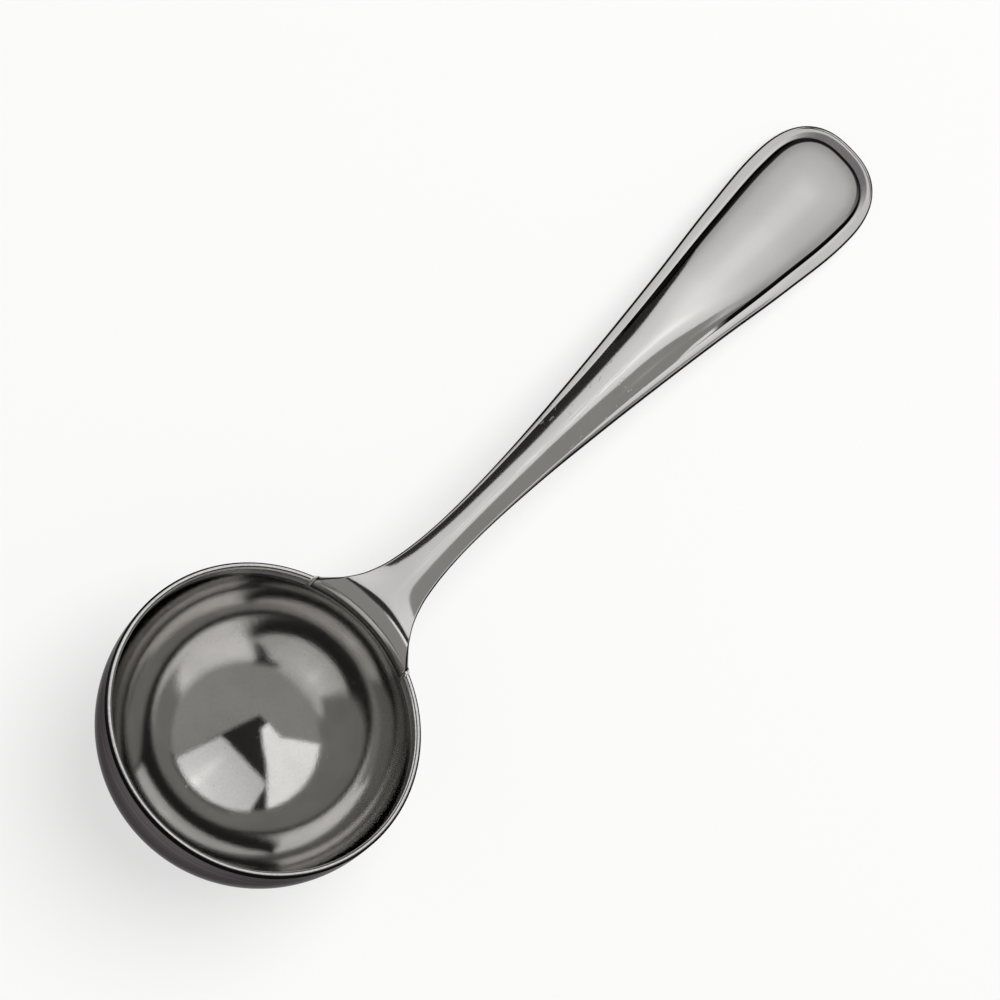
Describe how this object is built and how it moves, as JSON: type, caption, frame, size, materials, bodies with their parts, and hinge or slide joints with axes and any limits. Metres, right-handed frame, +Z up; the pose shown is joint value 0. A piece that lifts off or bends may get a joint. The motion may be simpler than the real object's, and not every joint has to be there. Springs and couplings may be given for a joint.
{
  "type": "coffee scoop",
  "caption": "Round measuring scoop in polished steel: a ball-bottomed bowl and a flat handle with a raised border and crowned panel, rolled over the rim at its root.",
  "frame": {"origin": "point of the table under the centre of the bowl's ball, where the bowl touches the table when the scoop lies at rest", "axes": "+X along the handle from the bowl to the tip, +Z up from the table, +Y across the handle; the rim leans about 19 degrees towards the handle"},
  "size_m": [0.1596, 0.048, 0.0344],
  "materials": {
    "bowl_steel": "mirror polished, with a faint grain",
    "handle_steel": "polished, with fine polishing lines along the handle",
    "weld_steel": "weld dressed flush and polished"
  },
  "bodies": {
    "root": {"bowl": "bowl_steel", "handle": "handle_steel", "neck_weld": "weld_steel"}
  },
  "joints": []
}
